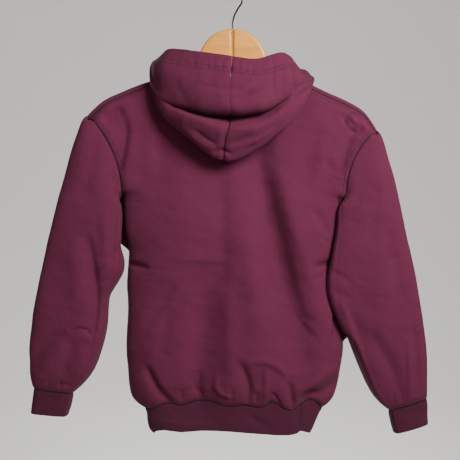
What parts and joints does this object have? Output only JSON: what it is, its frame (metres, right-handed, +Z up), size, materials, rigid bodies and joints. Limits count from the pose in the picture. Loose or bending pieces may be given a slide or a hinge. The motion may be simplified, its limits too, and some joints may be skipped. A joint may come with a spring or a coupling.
{
  "type": "kids pullover hoodie on a two-piece wooden hanger",
  "caption": "Long-sleeved kids fleece pullover with a hood, ribbed cuffs and waistband, hanging empty on a wooden clothes hanger with a wire hook.",
  "frame": {"origin": "inside top of the hanger hook's loop, where a rail carries it", "axes": "+Z up, +X to the wearer's right, -Y the way the garment's back faces, +Y the way its front faces"},
  "size_m": [0.6545, 0.1338, 0.7326],
  "materials": {
    "maroon_fleece": "brushed-back jersey, matt maroon",
    "maroon_rib": "rib knit, matt maroon",
    "honey_wood": "clear satin varnish",
    "dark_wire": "dark grey coated steel wire"
  },
  "bodies": {
    "root": {"back": "maroon_fleece", "front": "maroon_fleece", "sleeve_left": "maroon_fleece", "sleeve_right": "maroon_fleece", "cuff_left": "maroon_rib", "cuff_right": "maroon_rib", "waistband": "maroon_rib", "hood_left": "maroon_fleece", "hood_right": "maroon_fleece", "hanger_arm_left": "honey_wood", "hanger_arm_right": "honey_wood", "hanger_hook": "dark_wire"}
  },
  "joints": []
}
